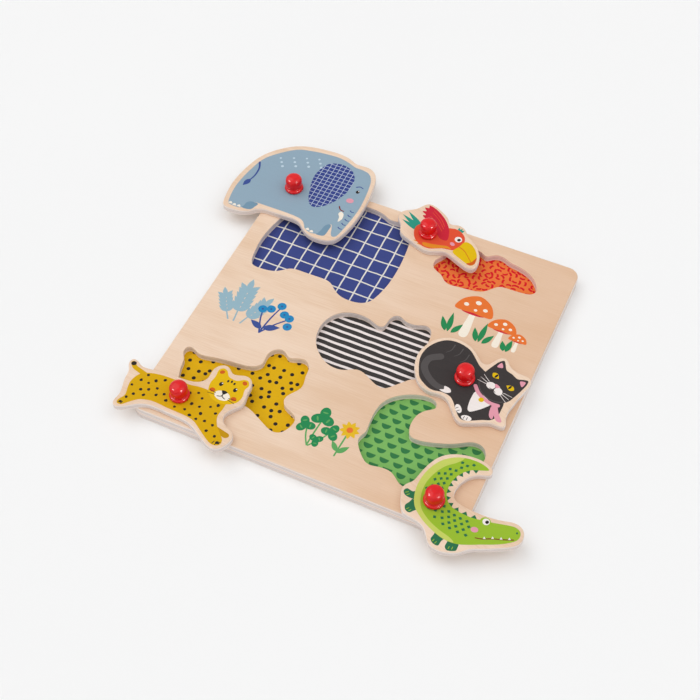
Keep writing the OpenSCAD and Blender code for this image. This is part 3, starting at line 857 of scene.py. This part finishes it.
teeth = [moved([(-1.1, 0), (1.1, 0), (0, 2.1)], *bite[i], 40) for i in (2, 5, 8, 11)]
toes = [stroke([(x, y), (x + lean, y + 2)], 0.6, 0.5) for x, y, lean in
        ((-44.6, -21.6, 1.4), (-42.4, -22.6, 1), (-34, -32.2, 0.6), (-31.6, -32.4, 0.4), (-0.6, -39.4, 0),
         (2, -39.6, 0), (12.4, -36, -0.4), (14.8, -34.6, -0.6))]
printed("crocodile_print", piece("crocodile", -19), [
    (forest, feet + saw),
    (lime, [crocodile_body]),
    (lime, [oval(18.6, 1.4, 9, 8.4)] + toes),
    (pale_lime, [belly]),
    (forest, scales + [oval(42.6, 10.8, 1.5, 1.9, 30)]),
    (pink, [oval(16.6, -9.6, 6, 4.8, 30)]),
    (brown, [stroke(jaw, 0.9, 0.8)]),
    (white, teeth + [oval(18.8, 2, 5.8, 5.8)]),
    (black, [oval(19.6, 2.2, 2.8, 3.1)]),
])


# Knobs: turned beech, dipped in red lacquer that pools a little. Each stands on its piece and is held
# by a screw from below.

def lacquered():
    f = Finish("red_lacquer", Coat_Weight=0.4, Coat_Roughness=0.06, Specular_IOR_Level=0.1)
    at = f.place()
    pooled = at.noise((6, 6, 4))
    peel = at.noise((1.3, 1.3, 1.3))
    return f.shows(Base_Color=pooled.fade(0.3, 0.7).mix(tint(230, 12, 20), tint(216, 7, 16)),
                   Roughness=0.28 + pooled * 0.1, Normal=peel.bump(0.1, 0.05 * MM))


red_lacquer = lacquered()
for animal in wells:
    dressed(animal + "_knob", red_lacquer, crease=35)


# Screws: countersunk steel screws with a cross slot, plated with zinc. One is driven up through each
# piece into its knob.

def zinc():
    f = Finish("zinc_steel", Metallic=1)
    mottle = f.place().noise((1.5, 1.5, 0.3), 3)
    return f.shows(Base_Color=mottle.fade(0.3, 0.7).mix(tint(196, 198, 202), tint(168, 171, 176)),
                   Roughness=0.28 + mottle * 0.14, Normal=mottle.bump(0.1, 0.02 * MM))


steel = zinc()
for animal in wells:
    dressed(animal + "_screw", steel, crease=35)


# Studio: a white floor, broad soft light from either side and the front, small highlights for the
# lacquer, and the camera at the photograph's view.

def floored():
    f = Finish("white_floor", Specular_IOR_Level=0.1)
    soft = f.place().noise((400, 400, 400), 1)
    return f.shows(Base_Color=soft.mix(tint(246, 246, 246), tint(248, 248, 248)), Roughness=0.9 + soft * 0.05)


reach = 4
floor_mesh = bpy.data.meshes.new("floor")
floor_mesh.from_pydata([(-reach, -reach, 0), (reach, -reach, 0), (reach, reach, 0), (-reach, reach, 0)],
                       [], [(0, 1, 2, 3)])
floor_mesh.materials.append(floored())
floor = bpy.data.objects.new("floor", floor_mesh)
bpy.context.scene.collection.objects.link(floor)


def far_lamp(name, towards, spread, power):
    """A lamp far off in one direction, with shadows as soft as its spread in degrees."""
    lamp = bpy.data.lights.new(name, "SUN")
    lamp.angle, lamp.energy = math.radians(spread), power
    made = bpy.data.objects.new(name, lamp)
    made.rotation_euler = Vector(towards).to_track_quat("Z", "Y").to_euler()
    bpy.context.scene.collection.objects.link(made)
    return made


far_lamp("left_light", (-0.7, 0.1, 1.1), spread=50, power=0.75)
far_lamp("right_light", (0.65, 0.1, 1.2), spread=50, power=0.55)
far_lamp("front_light", (-0.15, -0.85, 0.9), spread=60, power=0.42)
# The glints show on gloss alone.
for name, towards in (("left_glint", (-0.75, -0.5, 0.8)), ("right_glint", (1, -0.3, 0.8))):
    glint = far_lamp(name, towards, spread=24, power=3)
    glint.visible_diffuse = False

# The background is seen brighter, also in gloss, than the light that it gives.
light, background = 0.54, 0.93
studio = Finish("studio", bpy.data.worlds, "Background", Color=(1, 1, 1, 1))
seen = studio.node("ShaderNodeLightPath", {}, {}, out="Is Camera Ray")
for ray in ("Is Glossy Ray", "Is Transmission Ray"):
    seen = seen.maths("MAXIMUM", studio.node("ShaderNodeLightPath", {}, {}, out=ray))
bpy.context.scene.world = studio.shows(Strength=light + seen * (background - light))

azimuth, elevation = math.radians(24.667), math.radians(53.26)
aim = Vector((-7.857, -9.759, 0)) * MM
distance = 979.9 * MM
back = Vector((math.sin(azimuth) * math.cos(elevation), -math.cos(azimuth) * math.cos(elevation),
               math.sin(elevation)))
camera = bpy.data.objects.new("camera", bpy.data.cameras.new("camera"))
camera.data.sensor_width, camera.data.lens = 36, 63.34
camera.location = aim + back * distance
camera.rotation_euler = back.to_track_quat("Z", "Y").to_euler()
bpy.context.scene.collection.objects.link(camera)
bpy.context.scene.camera = camera
bpy.context.scene.view_settings.view_transform = "Standard"
